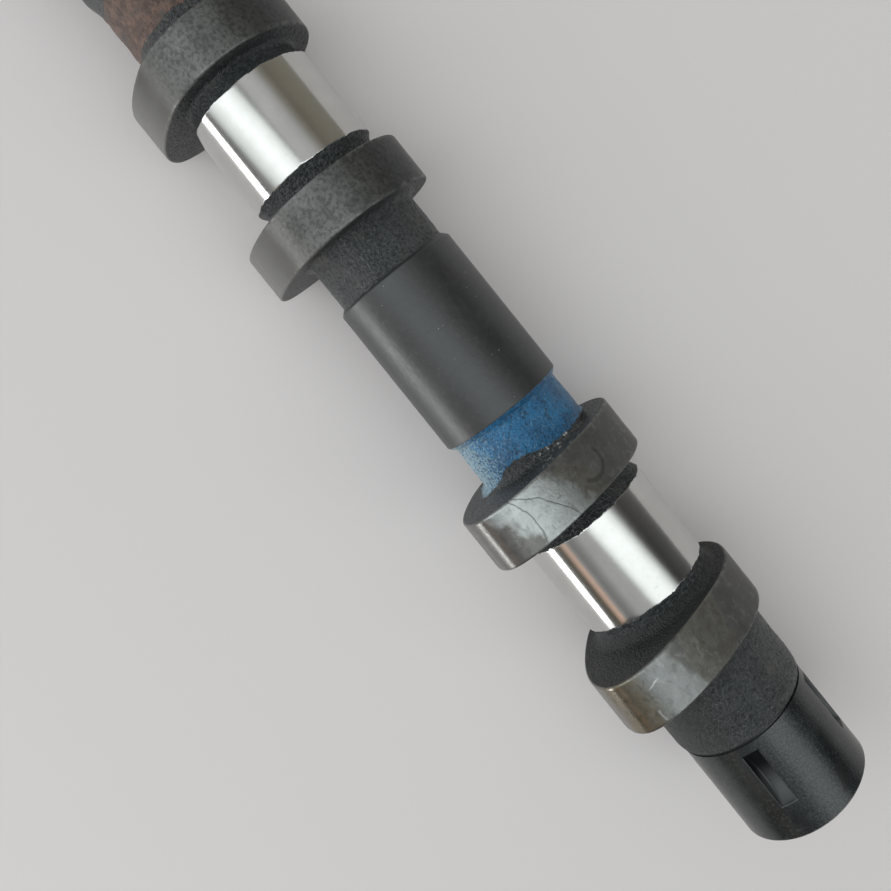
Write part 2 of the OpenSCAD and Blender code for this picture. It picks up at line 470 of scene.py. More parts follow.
def add_rear(skin):
    """Rings of the cast collar and the slotted spigot behind the last lobe."""
    round_start = COLLAR_X - COLLAR_ROUND
    for turn in np.radians(np.linspace(75, 0, 5)):
        r = COLLAR_R + COLLAR_FILLET * (1 - math.cos(turn))
        skin.ring(LAST_SIDE + COLLAR_FILLET * (1 - math.sin(turn)), r, SKIN, rough=0.6)
    skin.band(LAST_SIDE + COLLAR_FILLET, round_start, COLLAR_R, SKIN, SKIN_STEP, rough=0.7)
    for turn in np.radians(np.linspace(0, 90, 8)):
        r = SPIGOT_R + (COLLAR_R - SPIGOT_R) * math.cos(turn)
        place = round_start + COLLAR_ROUND * math.sin(turn)
        skin.ring(place, r, SKIN, rough=0.7 * math.cos(turn), edge=0.7 * math.sin(turn))
    low = SPIGOT_R - RELIEF_DEPTH
    skin.corners(SPIGOT, (COLLAR_X, low), (COLLAR_X + RELIEF_W, low), (COLLAR_X + RELIEF_W, SPIGOT_R))
    directions = [nose_angle(CYLINDERS) + a for a in SLOT_ANGLES]
    cutter = ((SLOT_L / 2) ** 2 + SLOT_DEPTH ** 2) / (2 * SLOT_DEPTH)
    middle = COLLAR_X + SLOT_X
    whole = grooved(SPIGOT_R, SLOT_W, SPIGOT_R, directions)
    skin.ring(middle - SLOT_L / 2 - 0.4, 0, SPIGOT, points=whole)
    for turn in np.linspace(-1, 1, 31):
        along = SLOT_L / 2 * math.sin(turn * math.pi / 2)
        floor = SPIGOT_R - SLOT_DEPTH + cutter - math.sqrt(cutter ** 2 - along ** 2)
        skin.ring(middle + along, 0, SPIGOT, points=grooved(SPIGOT_R, SLOT_W, floor, directions))
    skin.ring(middle + SLOT_L / 2 + 0.4, 0, SPIGOT, points=whole)
    skin.band(middle + SLOT_L / 2 + 0.4, REAR_X - SPIGOT_CHAMFER, SPIGOT_R, SPIGOT, step=1.5)
    skin.corners(
        SPIGOT, (REAR_X - SPIGOT_CHAMFER, SPIGOT_R), (REAR_X, SPIGOT_R - SPIGOT_CHAMFER),
        (REAR_X, CENTRE_HOLE_R))
    skin.ring(REAR_X - CENTRE_HOLE_DEPTH, 0.01, BORE)


def roughened(rings):
    """Places of all points, those of the cast skin moved along their normals by lumps of two sizes."""
    co = np.stack([r["co"] for r in rings])
    rough = np.stack([r["rough"] for r in rings])
    along = np.gradient(co, axis=0)
    around = np.roll(co, -1, 1) - np.roll(co, 1, 1)
    normal = np.cross(along, around)
    normal /= np.maximum(np.linalg.norm(normal, axis=2, keepdims=True), 1e-9)
    if (co[..., 1:] * normal[..., 1:]).sum() < 0:
        normal = -normal
    ring, column = np.nonzero(rough)
    at = co[ring, column]
    lumps = 0.085 * grain(at, 0.9, 3, 1.0) + 0.1 * grain(at, 3.2, 2, 3.0)
    co[ring, column] = at + normal[ring, column] * (lumps * rough[ring, column])[:, None]
    return co


def unwrapped(co):
    """Corners of all faces on the unit square: along the outline one way, round the shaft the other."""
    sides_w, cap_x, cap_ys, cap_r = 0.95, 0.98, (0.25, 0.75), 0.015
    profile = np.column_stack([co[:, :, 0].mean(1), np.hypot(co[:, :, 1], co[:, :, 2]).mean(1)])
    steps = np.hypot(*np.diff(profile, axis=0).T)
    along = sides_w * np.concatenate([[0], np.cumsum(steps)]) / steps.sum()
    column = np.arange(AROUND) / AROUND
    first, low = np.meshgrid(along[:-1], column, indexing="ij")
    last, high = np.meshgrid(along[1:], column + 1 / AROUND, indexing="ij")
    sides = np.stack([first, low, last, low, last, high, first, high], -1).reshape(-1, 2)
    turn = 2 * math.pi * column
    near, far = (cap_r * np.column_stack([np.cos(at), np.sin(at)]) for at in (turn, turn + turn[1]))
    caps = []
    for middle, rim in zip(cap_ys, ((near, far), (far, near))):
        centre = np.tile([cap_x, middle], (AROUND, 1))
        caps.append(np.stack([centre, centre + rim[0], centre + rim[1]], 1).reshape(-1, 2))
    return np.concatenate([sides] + caps)


def add_object(name, data):
    """Puts a mesh, lamp or camera into the scene."""
    obj = bpy.data.objects.new(name, data)
    bpy.context.scene.collection.objects.link(obj)
    return obj


def build(skin, name, materials):
    """Makes a piece of a run of rings, closed at both ends."""
    co = roughened(skin.rings)
    count = len(skin.rings)
    verts = np.concatenate([co.reshape(-1, 3), [co[0].mean(0)], [co[-1].mean(0)]]) * MM
    ring, column = np.meshgrid(np.arange(count - 1), np.arange(AROUND), indexing="ij")
    following = (column + 1) % AROUND
    quads = np.stack([
        ring * AROUND + column, (ring + 1) * AROUND + column,
        (ring + 1) * AROUND + following, ring * AROUND + following], -1).reshape(-1, 4)
    cap = np.arange(AROUND)
    after = (cap + 1) % AROUND
    middle = np.full(AROUND, count * AROUND)
    end = (count - 1) * AROUND
    start_cap = np.stack([middle, cap, after], 1)
    end_cap = np.stack([middle + 1, end + after, end + cap], 1)
    faces = quads.tolist() + start_cap.tolist() + end_cap.tolist()
    mesh = bpy.data.meshes.new(name)
    mesh.from_pydata(verts.tolist(), [], faces)
    for material in materials:
        mesh.materials.append(material)
    zones = np.repeat(skin.zones[1:] + skin.zones[:1] + skin.zones[-1:], AROUND)
    mesh.polygons.foreach_set("material_index", zones.astype(np.int32))
    mesh.polygons.foreach_set("use_smooth", np.ones(len(faces), bool))
    for key in ("over", "edge", "off_nose"):
        values = np.concatenate([r[key] for r in skin.rings] + [[0.0, 0.0]])
        layer = mesh.attributes.new(key, "FLOAT", "POINT")
        layer.data.foreach_set("value", values.astype(np.float32))
    edges = np.zeros(len(mesh.edges) * 2, np.int32)
    mesh.edges.foreach_get("vertices", edges)
    start, end = edges.reshape(-1, 2).T // AROUND
    flags = np.array([r["sharp"] for r in skin.rings] + [False])
    mark = mesh.attributes.new("sharp_edge", "BOOLEAN", "EDGE")
    mark.data.foreach_set("value", (start == end) & flags[start])
    layer = mesh.uv_layers.new(name="OFBake")
    layer.data.foreach_set("uv", unwrapped(co).astype(np.float32).ravel())
    mesh.update()
    return add_object(name, mesh)


def bays():
    """The four runs of rings, one for each cylinder, cut halfway along the barrels."""
    for number in range(1, CYLINDERS + 1):
        skin = Skin()
        c = cylinder_x(number)
        left = c - LOBE_OUTER - FILLET
        right = c + LOBE_OUTER + FILLET
        if number == 1:
            add_front(skin)
            start = FLANGE_X + FILLET
        else:
            add_barrel_half(skin, number - 1, -1)
            start = barrel_ends(number - 1)[3]
        skin.band(start, left, CORE_RS[number - 1], SKIN, SKIN_STEP, rough=1.0)
        add_cylinder(skin, number)
        if number < CYLINDERS:
            skin.band(right, barrel_ends(number)[0], CORE_RS[number], SKIN, SKIN_STEP, rough=1.0)
            add_barrel_half(skin, number, 1)
        else:
            add_rear(skin)
        yield number, skin


class Nodes:
    """A node tree, with short names for its sums, mixes and links."""

    def __init__(self, tree):
        self.tree = tree

    def add(self, kind, *inputs, **settings):
        """Adds a node with its settings and its first inputs."""
        node = self.tree.nodes.new(kind)
        for name, value in settings.items():
            setattr(node, name, value)
        for socket, value in zip(node.inputs, inputs):
            self.wire(socket, value)
        return node

    def wire(self, socket, value):
        """Links an output to a socket, or sets the socket's own value."""
        if isinstance(value, bpy.types.NodeSocket):
            self.tree.links.new(value, socket)
        elif isinstance(value, tuple) and socket.type == "RGBA":
            socket.default_value = (*value, 1)
        else:
            socket.default_value = value

    def fill(self, node, values):
        """Wires the inputs of a node that are named or numbered in a dictionary."""
        for place, value in values.items():
            self.wire(node.inputs[place], value)
        return node

    def math(self, operation, a, b=0.0):
        """One of the sums that a math node does."""
        return self.add("ShaderNodeMath", a, b, operation=operation).outputs[0]

    def chain(self, operation, first, *others):
        """One math node after another, each taking in one more value."""
        for other in others:
            first = self.math(operation, first, other)
        return first

    def times(self, *values):
        """The product of any number of values."""
        return self.chain("MULTIPLY", *values)

    def sum(self, *values):
        """The sum of any number of values."""
        return self.chain("ADD", *values)

    def either(self, *masks):
        """The largest of any number of masks."""
        return self.chain("MAXIMUM", *masks)

    def apart(self, value, middle):
        """How far a value is from a middle, either way."""
        return self.math("ABSOLUTE", self.math("SUBTRACT", value, middle))

    def turn(self, y, z):
        """Angle in degrees from straight up towards -Y."""
        return self.times(self.math("ARCTAN2", self.times(y, -1), z), 180 / math.pi)

    def span(self, value, low, high, start=0.0, end=1.0, **settings):
        """Maps one range of values onto another, and holds still beyond its ends."""
        return self.add("ShaderNodeMapRange", value, low, high, start, end, **settings).outputs[0]

    def mix(self, mask, a, b):
        """The number a, or b where the mask is 1."""
        return self.fill(self.add("ShaderNodeMix"), {0: mask, 2: a, 3: b}).outputs[0]

    def tint(self, mask, a, b):
        """The colour a, or b where the mask is 1."""
        return self.fill(self.add("ShaderNodeMix", data_type="RGBA"), {0: mask, 6: a, 7: b}).outputs[2]

    def scaled(self, vector, factor):
        """A colour or place times a number."""
        node = self.add("ShaderNodeVectorMath", vector, operation="SCALE")
        return self.fill(node, {"Scale": factor}).outputs[0]

    def ramp(self, value, low, high, stops):
        """A colour that runs straight through (value, brightness or colour) stops."""
        node = self.add("ShaderNodeValToRGB", self.span(value, low, high))
        elements = node.color_ramp.elements
        elements.remove(elements[-1])
        for i, (place, color) in enumerate(stops):
            part = (place - low) / (high - low)
            element = elements[0] if i == 0 else elements.new(part)
            element.position = part
            element.color = (*color, 1) if isinstance(color, tuple) else (color, color, color, 1)
        return node.outputs[0]


class Shade(Nodes):
    """The nodes of one material: noise in millimetres, masks, and looks laid over one another.

    A look is (colour, metallic, roughness, height), each a value or a node's output. Height is
    in millimetres. Masks run from 0 to 1.
    """

    def __init__(self, name, specular=0.5):
        self.material = bpy.data.materials.new(name)
        self.material.use_nodes = True
        super().__init__(self.material.node_tree)
        self.shader = self.tree.nodes["Principled BSDF"]
        self.shader.inputs["Specular IOR Level"].default_value = specular
        place = self.add("ShaderNodeTexCoord").outputs["Object"]
        self.place = self.add("ShaderNodeVectorMath", place, (1 / MM,) * 3, operation="MULTIPLY").outputs[0]
        self.x, y, z = self.add("ShaderNodeSeparateXYZ", self.place).outputs
        self.around = self.turn(y, z)
        self.radius = self.math("SQRT", self.sum(self.times(y, y), self.times(z, z)))

    def spread(self, size, shift, stretch):
        """Places on the part, scaled for a pattern with features about size across."""
        scale = tuple(1 / (size * s) for s in stretch)
        node = self.add("ShaderNodeVectorMath", self.place, scale, shift, operation="MULTIPLY_ADD")
        return node.outputs[0]

    def noise(self, size, detail, rough, seed, stretch=(1, 1, 1), warp=0.0):
        """Cloudy noise from 0 to 1, mostly near 0.5, whose lumps are about size across."""
        place = self.spread(size, (seed, seed * 1.7, -seed), stretch)
        values = {"Vector": place, "Scale": 1, "Detail": detail, "Roughness": rough, "Distortion": warp}
        return self.fill(self.add("ShaderNodeTexNoise"), values).outputs[0]

    def flecks(self, size, seed):
        """Distance from the nearest of many points scattered about size apart."""
        place = self.spread(size, (seed, -seed, seed), (1, 1, 1))
        node = self.fill(self.add("ShaderNodeTexVoronoi"), {"Vector": place, "Scale": 1})
        return node.outputs["Distance"]

    def step(self, value, low, high):
        """0 below low and 1 above high, or the other way round, with a smooth passage between."""
        start, end = (0.0, 1.0) if high > low else (1.0, 0.0)
        low, high = min(low, high), max(low, high)
        return self.span(value, low, high, start, end, interpolation_type="SMOOTHSTEP")

    def between(self, value, low, high, soft):
        """1 between two values, and 0 outside them."""
        rise = self.step(value, low - soft / 2, low + soft / 2)
        fall = self.step(value, high + soft / 2, high - soft / 2)
        return self.times(rise, fall)

    def below(self, value, limit, soft):
        """1 where a value is below a limit, and 0 above it, passing over soft either way."""
        return self.step(self.math("SUBTRACT", limit, value), -soft, soft)

    def swing(self, value, reach):
        """Turns noise from 0 to 1 into noise from -reach to reach."""
        return self.times(self.math("SUBTRACT", value, 0.5), 2 * reach)

    def curve(self, value, points):
        """A number that runs smoothly through (value, number) points."""
        node = self.add("ShaderNodeFloatCurve")
        curve = node.mapping.curves[0]
        low, high = points[0][0], points[-1][0]
        heights = [height for _, height in points]
        floor, reach = min(heights), max(heights) - min(heights)
        flat = [((place - low) / (high - low), (height - floor) / reach) for place, height in points]
        curve.points[0].location = flat[0]
        curve.points[-1].location = flat[-1]
        for place in flat[1:-1]:
            curve.points.new(*place)
        node.mapping.update()
        self.wire(node.inputs["Value"], self.span(value, low, high))
        return self.sum(self.times(node.outputs[0], reach), floor)

    def attribute(self, name):
        """A value that the mesh carries."""
        return self.add("ShaderNodeAttribute", attribute_name=name).outputs["Fac"]

    def layered(self, color, *layers):
        """Lays colours over one another. A layer is (mask, how fully it covers there, colour)."""
        for mask, cover, paint in layers:
            color = self.tint(self.times(mask, cover), color, paint)
        return color

    def over(self, mask, top, bottom):
        """Lays one look over another where the mask is 1."""
        rest = tuple(self.mix(mask, b, t) for b, t in zip(bottom[1:], top[1:]))
        return (self.tint(mask, bottom[0], top[0]), *rest)

    def finish(self, look):
        """Sends a look to the shader, with its height as a bump."""
        color, metallic, roughness, height = look
        bump = self.fill(self.add("ShaderNodeBump"), {"Strength": 1, "Distance": MM, "Height": height})
        self.fill(self.shader, {"Base Color": color, "Metallic": metallic, "Roughness": roughness,
                                "Normal": bump.outputs[0]})
        return self.material


# The blue paint by the angle round the shaft: where along the shaft it ends, and how far out it
# reaches on the lobe's side
PAINT_EDGE = [(-90, 321), (-45, 321.2), (-22, 321.2), (0, 320.1), (20, 319.5), (38, 320.7),
              (60, 321.9), (100, 322.4)]
PAINT_REACH = [(40, 8), (56, 9.5), (66, 12.9), (88, 12.3), (121, 13.6), (160, 12)]

# The ends of the brown paint along the shaft
BROWN_ENDS = (214.6, 225)

# Stains as (x, around, half width, half height, tilt), and arcs as (x, around, radius, width, start,
# end): on the last cylinder's lobes, and one stain near the end of the spigot
PALE_STAINS = [(327, 8.5, 5.6, 14.5, -1.6), (361, 16.5, 6.2, 12, -0.9)]
BROWN_STAINS = [(328.5, -14, 4.6, 8, -0.5), (361, -13, 5.6, 17, 0.8)]
STROKES = [(326.6, -24, 2.9, 0.55, -120, 55), (328.4, 66, 14.9, 0.16, -125, -75),
           (340, 74, 24.3, 0.16, -145, -110)]
SCRATCHES = [(362.2, 16.5, 3.2, 0.17, 150, 176), (364.2, 15, 3, 0.2, 72, 108)]
SPIGOT_STAIN = (395.2, -32, 2.3, 4.2, 1.6)


def stain(s, x, around, half_x, half_around, tilt):
    """A cloudy-edged patch, its sides leaning by tilt degrees a millimetre."""
    level = s.sum(s.around, s.times(s.math("SUBTRACT", s.x, x), -tilt), -around)
    far_along = s.math("DIVIDE", s.apart(s.x, x), half_x)
    far_around = s.math("DIVIDE", s.apart(level, 0), half_around)
    ragged = s.swing(s.noise(3.4, 4, 0.5, 24, warp=0.3), 0.55)
    return s.step(s.sum(s.either(far_along, far_around), ragged), 1.14, 0.86)


def stroke(s, x, around, radius, width, start, end):
    """A thin arc on a lobe: part of a ring of a radius round a place, from start to end degrees."""
    along = s.sum(s.x, -x, s.swing(s.noise(3, 3, 0.5, 37), 0.5))
    mm_per_degree = 0.3
    up = s.times(s.math("SUBTRACT", s.around, around), mm_per_degree)
    up = s.sum(up, s.swing(s.noise(3, 3, 0.5, 38), 0.5))
    reach = s.math("SQRT", s.sum(s.times(along, along), s.times(up, up)))
    ring = s.step(s.apart(reach, radius), width, width * 0.3)
    turn = s.times(s.math("ARCTAN2", up, along), 180 / math.pi)
    return s.times(ring, s.between(turn, start, end, 14))


def paint_mask(s):
    """Where the blue paint is: from the last barrel's end to a wavy edge, and low on the lobe's side."""
    wave = s.swing(s.noise(1.3, 3, 0.6, 15, stretch=(1000, 1, 1)), 0.55)
    edge = s.sum(s.curve(s.around, PAINT_EDGE), wave)
    rim, r = barrel_ends(CYLINDERS - 1)[2], BARREL_RS[-1]
    near = s.times(s.step(s.x, rim - 0.02, rim + 0.06), s.step(s.radius, r + 0.5, r + 0.25))
    core = s.times(s.below(s.x, edge, 0.12), near)
    reach = s.sum(s.curve(s.around, PAINT_REACH), s.swing(s.noise(1.1, 3, 0.6, 16), 0.8))
    beside = s.between(s.x, PAINTED_SIDE - 2.25, PAINTED_SIDE + 0.75, 0.2)
    return s.either(core, s.times(s.below(s.radius, reach, 0.1), beside))


def brown_mask(s):
    """Where the brown paint is: a ragged band round the core behind the middle barrel."""
    low = s.sum(BROWN_ENDS[0], s.swing(s.noise(1.6, 3, 0.6, 17), 1))
    high = s.sum(BROWN_ENDS[1], s.swing(s.noise(1.6, 3, 0.6, 18), 1.1))
    return s.times(s.below(low, s.x, 0.12), s.below(s.x, high, 0.12))


def cast_look(s):
    """Blasted cast skin: dark grey grains, with brownish patches and pale chips, a painted highlight on the
    grains' tops and painted shade in their hollows.
    """
    coarse = s.noise(0.55, 3, 0.6, 1)
    fine = s.noise(0.24, 2, 0.5, 2)
    patch = s.step(s.noise(7, 2, 0.5, 3), 0.35, 0.65)
    rust = s.step(s.noise(5, 3, 0.6, 4), 0.56, 0.72)
    # Painted highlight: the tops of the grains are paler. Painted shade: their hollows are darker and
    # duller.
    peak_highlight = s.times(s.step(coarse, 0.46, 0.68), s.step(fine, 0.42, 0.66))
    pit_shade = s.step(coarse, 0.47, 0.32)
    chipped = s.step(s.noise(5, 2, 0.5, 61), 0.52, 0.6)
    chips = s.times(s.step(s.flecks(2.4, 60), 0.075, 0.045), chipped)
    color = s.layered(
        s.tint(patch, (0.023, 0.028, 0.03), (0.04, 0.046, 0.048)),
        (rust, 0.6, (0.085, 0.075, 0.07)),
        (peak_highlight, 0.8, (0.165, 0.175, 0.175)),
        (pit_shade, 0.75, (0.005, 0.0065, 0.007)),
        (chips, 0.8, (0.42, 0.42, 0.41)))
    rough = s.mix(pit_shade, s.mix(peak_highlight, 0.36, 0.24), 0.62)
    height = s.sum(s.swing(coarse, 0.29), s.swing(fine, 0.12))
    return color, 0, rough, height


def ground_look(s):
    """Finely ground iron: hair lines round the shaft, fine grit and a few dull specks."""
    lines = s.noise(0.11, 2, 0.6, 5, stretch=(1, 60, 60))
    cloud = s.noise(5, 3, 0.6, 7)
    grit = s.noise(0.3, 2, 0.6, 19)
    specks = s.step(s.noise(0.45, 2, 0.5, 8), 0.66, 0.74)
    color = s.layered(
        s.tint(s.step(cloud, 0.3, 0.7), (0.55, 0.55, 0.535), (0.59, 0.59, 0.575)),
        (specks, 0.35, (0.36, 0.35, 0.33)))
    rough = s.sum(
        0.125, s.swing(cloud, 0.01), s.swing(lines, 0.006), s.swing(grit, 0.07), s.times(specks, 0.05))
    height = s.sum(s.swing(lines, 0.0001), s.swing(grit, 0.0009))
    return color, 1, rough, height


def paint_look(s):
    """Blue marking paint, brushed thinly over the cast skin. It has pale specks, partly scuffs and partly
    painted highlight, that are denser towards -Y, and painted shade in the hollows of its grain.
    """
    coarse = s.noise(0.5, 3, 0.6, 1)
    fine = s.noise(0.28, 2, 0.5, 2)
    thick = s.step(s.noise(2.4, 3, 0.6, 11), 0.35, 0.66)
    # Pale specks: partly scuffs and partly painted highlight, denser towards -Y where the strip lamp is.
    low = s.step(s.around, 5, 70)
    scuffs_and_glints = s.step(s.sum(s.noise(0.45, 3, 0.65, 12), s.times(low, 0.17)), 0.56, 0.64)
    # Painted shade: the hollows of the grain are dark blue.
    hollow_shade = s.step(coarse, 0.47, 0.34)
    color = s.layered(
        s.tint(thick, (0.003, 0.098, 0.235), (0.01, 0.175, 0.385)),
        (scuffs_and_glints, s.mix(low, 0.2, 0.9), (0.36, 0.52, 0.58)),
        (hollow_shade, 0.8, (0.006, 0.024, 0.045)))
    height = s.sum(s.swing(coarse, 0.22), s.swing(fine, 0.1))
    return color, 0, 0.3, height


def brown_look(s):
    """Brown marking paint, mottled where the cast skin shows through, with painted shade in the hollows of
    its grain.
    """
    coarse = s.noise(0.55, 3, 0.6, 1)
    thick = s.noise(1.7, 3, 0.6, 13)
    wear_and_sheen = s.step(s.noise(3.1, 3, 0.6, 14), 0.52, 0.66)
    # Painted shade: the hollows of the grain are darker.
    pit_shade = s.step(coarse, 0.45, 0.33)
    color = s.layered(
        s.tint(s.step(thick, 0.35, 0.65), (0.08, 0.046, 0.034), (0.17, 0.098, 0.07)),
        (wear_and_sheen, 0.7, (0.058, 0.054, 0.052)),
        (pit_shade, 0.7, (0.018, 0.012, 0.01)))
    height = s.sum(s.swing(coarse, 0.22), s.swing(thick, 0.04))
    return color, 0, 0.52, height


def cast_skin():
    """Cast skin with rubbed edges, chipped places on the last cylinder, painted shade by its rear lobe and
    on the collar's side towards -Y, and both paints.
    """
    s = Shade("cast_skin", 0.7)
    look = cast_look(s)
    height = look[3]
    rubbed = s.times(s.attribute("edge"), s.step(s.noise(0.8, 2, 0.5, 9), 0.42, 0.66))
    look = s.over(s.times(rubbed, 0.6), ((0.16, 0.16, 0.155), 0.5, 0.38, height), look)
    # Painted shade: the cast skin by the rear lobe's inner side and the collar's side towards -Y is darker
    # and duller.
    side = s.between(s.x, SHADED_LOBE_SIDE - 5.25, SHADED_LOBE_SIDE + 1.75, 3)
    low_collar = s.times(s.step(s.x, LAST_SIDE - 1.75, LAST_SIDE + 2.25), s.step(s.around, -10, 38))
    painted_shade = s.times(s.either(side, low_collar), 0.72)
    look = s.over(painted_shade, ((0.006, 0.0075, 0.008), 0, 0.62, height), look)
    beside_paint = s.between(s.x, PAINTED_SIDE - 1.85, PAINTED_SIDE + 0.05, 0.2)
    upper = s.between(s.around, -42, 0, 6)
    chipped = s.step(s.noise(1.6, 2, 0.5, 63), 0.43, 0.51)
    chips = s.times(s.step(s.flecks(0.8, 62), 0.36, 0.22), chipped)
    look = s.over(s.times(beside_paint, upper, chips), ((0.55, 0.55, 0.53), 0, 0.45, height), look)
    look = s.over(brown_mask(s), brown_look(s), look)
    look = s.over(paint_mask(s), paint_look(s), look)
    return s.finish(look)


def ground_iron():
    """Ground bands, with cast skin where the casting stayed below the grinding wheel."""
    s = Shade("ground_iron")
    over = s.sum(s.attribute("over"), s.swing(s.noise(0.42, 3, 0.6, 10), 0.11))
    ground = s.step(over, -0.02, 0.02)
    return s.finish(s.over(ground, ground_look(s), cast_look(s)))


def plain_lobe_color(s, soft, cloud, base, back):
    """Most lobes: pale at the nose, with dark mottle and pale clouds round the base circle, and pale axial
    streaks at the nose that are partly polish lines and partly painted highlight.
    """
    tip = s.step(s.attribute("off_nose"), 78, 30)
    mottle = s.sum(
        s.noise(0.72, 3, 0.65, 22), s.swing(s.flecks(0.9, 20), 0.06), s.swing(cloud, 0.05))
    spots = s.step(mottle, 0.58, 0.38)
    pale = s.times(s.step(s.noise(0.7, 3, 0.6, 36), 0.54, 0.72), base)
    # Pale streaks along the axis at the nose: partly polish lines, partly painted highlight.
    glint_and_polish_streaks = s.step(s.noise(0.3, 2, 0.6, 39, stretch=(40, 1, 1)), 0.6, 0.66)
    round_base = s.tint(soft, (0.112, 0.115, 0.113), (0.158, 0.161, 0.157))
    return s.layered(
        s.tint(soft, (0.074, 0.073, 0.067), (0.094, 0.093, 0.086)),
        (tip, 1, (0.205, 0.205, 0.198)),
        (base, 1, s.tint(back, round_base, (0.06, 0.064, 0.064))),
        (spots, s.mix(base, 0.04, s.mix(back, 0.55, 0.7)), (0.036, 0.038, 0.037)),
        (pale, s.mix(back, 0.35, 0.1), (0.25, 0.26, 0.26)),
        (s.times(glint_and_polish_streaks, s.step(tip, 0.7, 1)), 0.7, (0.34, 0.34, 0.33)))


def last_lobe_color(s, soft, base, back, pale_stain):
    """The last cylinder's lobes: brown and pale stains, smears, dark arcs and pale scratches."""
    off_nose = s.attribute("off_nose")
    brown_stain = s.either(*(stain(s, *place) for place in BROWN_STAINS))
    blotch = s.step(s.noise(1.8, 4, 0.65, 29, warp=0.5), 0.4, 0.6)
    very_last = s.step(s.x, LAST_CYLINDER - 1, LAST_CYLINDER + 1)
    golden = s.times(s.step(off_nose, 14, 5), very_last)
    smear = s.noise(1.3, 4, 0.65, 25, stretch=(1.4, 1, 1), warp=0.6)
    strokes = s.either(*(stroke(s, *place) for place in STROKES))
    scratches = s.either(*(stroke(s, *place) for place in SCRATCHES))
    return s.layered(
        s.tint(soft, (0.11, 0.11, 0.104), (0.145, 0.145, 0.138)),
        (s.step(off_nose, 30, 8), 1, (0.19, 0.187, 0.178)),
        (base, 1, (0.078, 0.078, 0.074)),
        (back, 1, (0.04, 0.042, 0.04)),
        (brown_stain, s.mix(blotch, 0.8, 0.4), (0.215, 0.207, 0.182)),
        (brown_stain, s.mix(blotch, 0.55, 0), (0.082, 0.076, 0.06)),
        (pale_stain, s.mix(blotch, 0.9, 0.7), s.tint(very_last, (0.45, 0.485, 0.48), (0.21, 0.222, 0.218))),
        (golden, s.mix(blotch, 0.9, 0.6), (0.215, 0.186, 0.13)),
        (s.step(smear, 0.53, 0.72), 0.3, (0.36, 0.375, 0.37)),
        (s.step(smear, 0.46, 0.32), 0.4, (0.07, 0.07, 0.066)),
        (strokes, 0.6, (0.055, 0.056, 0.052)),
        (scratches, 0.6, (0.55, 0.58, 0.57)))


def lobe_phosphate():
    """Ground and phosphated lobes, glossier at the last noses and pale stains, with rubbed edges."""
    s = Shade("lobe_phosphate")
    off_nose = s.attribute("off_nose")
    barrel = LAST_CYLINDER - PITCH / 2
    last = s.step(s.x, barrel - 2, barrel + 2)
    base = s.step(off_nose, 66, 104)
    back = s.step(off_nose, 128, 172)
    cloud = s.noise(5, 3, 0.55, 21)
    soft = s.step(cloud, 0.35, 0.65)
    pale_stain = s.either(*(stain(s, *place) for place in PALE_STAINS))
    dust = s.step(s.noise(0.2, 2, 0.6, 23), 0.6, 0.74)
    rubbed = s.times(s.attribute("edge"), s.step(s.noise(1.1, 3, 0.6, 26), 0.4, 0.66))
    color = s.layered(
        plain_lobe_color(s, soft, cloud, base, back),
        (last, 1, last_lobe_color(s, soft, base, back, pale_stain)),
        (dust, 0.2, (0.22, 0.22, 0.215)),
        (rubbed, 0.45, (0.24, 0.24, 0.23)))
    gloss = s.either(s.times(last, pale_stain, 0.7), s.times(s.step(off_nose, 16, 7), last))
    rough = s.sum(0.42, s.swing(cloud, 0.1), s.times(rubbed, -0.06), s.times(gloss, -0.15))
    lines = s.noise(0.14, 2, 0.6, 27, stretch=(1, 50, 50))
    height = s.sum(s.swing(lines, 0.0035), s.swing(s.noise(0.45, 3, 0.6, 28), 0.016))
    return s.finish((color, s.mix(gloss, 0.6, 0.85), rough, height))


def barrel_black():
    """Turned and blackened barrels, faintly ringed, with white specks and dust, and cast feet."""
    s = Shade("barrel_black", 1)
    lines = s.noise(0.16, 2, 0.7, 31, stretch=(1, 60, 60))
    cloud = s.noise(9, 3, 0.6, 32)
    dust = s.noise(0.9, 4, 0.7, 35)
    speckled = s.step(s.noise(2.5, 2, 0.5, 34), 0.5, 0.6)
    specks = s.times(s.step(s.flecks(1.3, 33), 0.085, 0.05), speckled)
    color = s.layered(
        s.tint(s.step(cloud, 0.3, 0.7), (0.007, 0.01, 0.0115), (0.0125, 0.016, 0.0175)),
        (specks, 0.7, (0.45, 0.46, 0.46)),
        (s.step(dust, 0.5, 0.7), 0.3, (0.05, 0.052, 0.052)))
    rough = s.sum(0.42, s.swing(lines, 0.06), s.swing(cloud, 0.05), s.swing(dust, 0.1))
    height = s.sum(s.swing(lines, 0.003), s.swing(dust, 0.02))
    foot = s.step(s.radius, min(BARREL_RS) - 0.25, min(BARREL_RS) - 0.55)
    look = s.over(foot, cast_look(s), (color, 0, rough, height))
    return s.finish(s.over(paint_mask(s), paint_look(s), look))


